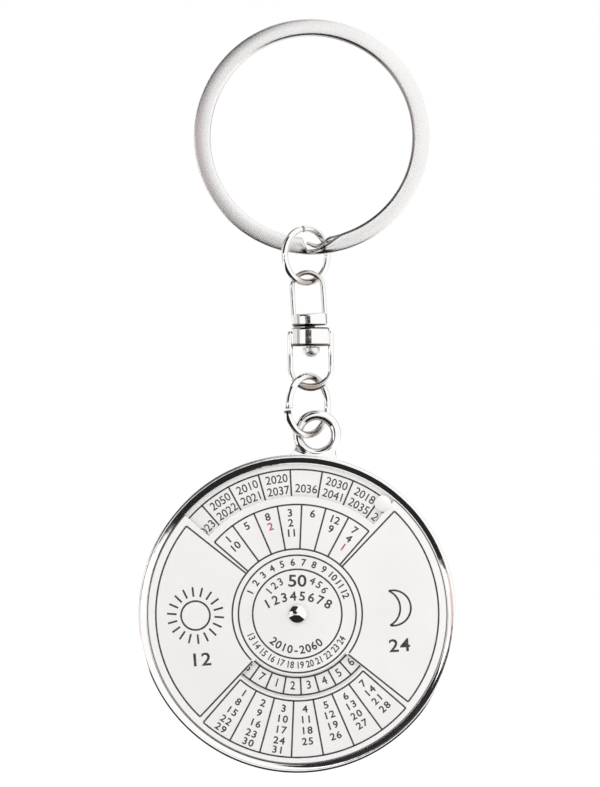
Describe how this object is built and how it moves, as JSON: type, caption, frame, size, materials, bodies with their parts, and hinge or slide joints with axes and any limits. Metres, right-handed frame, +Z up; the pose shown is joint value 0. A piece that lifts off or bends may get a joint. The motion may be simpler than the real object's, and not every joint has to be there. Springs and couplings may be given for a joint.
{
  "type": "calendar keychain",
  "caption": "Metal keychain: split ring, jump rings and swivel carry a round medallion with a dial that turns over a printed calendar disc.",
  "frame": {"origin": "inside top of the split ring, where a hook holds it", "axes": "+Z up along the hanging chain, -Y towards the viewer of the dial, +X to the viewer's right"},
  "size_m": [0.0404, 0.0066, 0.0961],
  "materials": {
    "bright_nickel": "polished nickel plate",
    "satin_nickel": "satin nickel plate on flat steel wire",
    "printed_plate": "satin nickel plate with thin printed black and red lines",
    "spring_steel": "plain spring steel"
  },
  "bodies": {
    "split_ring": {"split_ring": "satin_nickel"},
    "upper_jump_ring": {"upper_jump_ring": "bright_nickel"},
    "swivel_eye": {"swivel_eye": "bright_nickel", "swivel_rivet": "bright_nickel"},
    "swivel_stirrup": {"swivel_stirrup": "bright_nickel"},
    "lower_jump_ring": {"lower_jump_ring": "bright_nickel"},
    "medallion": {"medallion_case": "bright_nickel", "year_disc": "printed_plate", "friction_washer": "spring_steel", "dial_rivet": "bright_nickel"},
    "month_dial": {"month_dial": "printed_plate"}
  },
  "joints": [
    {"name": "ring_travel", "type": "hinge", "parent": "split_ring", "child": "upper_jump_ring", "pos_m": [0, 0, -0.0129], "axis": [0, 1, 0], "continuous": true},
    {"name": "eye_swing", "type": "hinge", "parent": "upper_jump_ring", "child": "swivel_eye", "pos_m": [-0.00055, 0.00011, -0.03147], "axis": [0.7869, 0.6148, 0.0523], "range_deg": [-35, 35]},
    {"name": "swivel_turn", "type": "hinge", "parent": "swivel_eye", "child": "swivel_stirrup", "pos_m": [-0.00013, 0.00011, -0.03721], "axis": [-0.0087, 0, 1], "continuous": true},
    {"name": "lower_ring_swing", "type": "hinge", "parent": "swivel_stirrup", "child": "lower_jump_ring", "pos_m": [-0.00007, 0.00011, -0.04486], "axis": [1, 0, 0.0087], "range_deg": [-45, 45]},
    {"name": "medallion_swing", "type": "hinge", "parent": "lower_jump_ring", "child": "medallion", "pos_m": [0.00028, 0.0005, -0.05077], "axis": [0.6399, 0.7107, 0.2924], "range_deg": [-35, 35]},
    {"name": "dial_turn", "type": "hinge", "parent": "medallion", "child": "month_dial", "pos_m": [-0.0018, 0.0005, -0.07373], "axis": [0, 1, 0], "continuous": true}
  ]
}
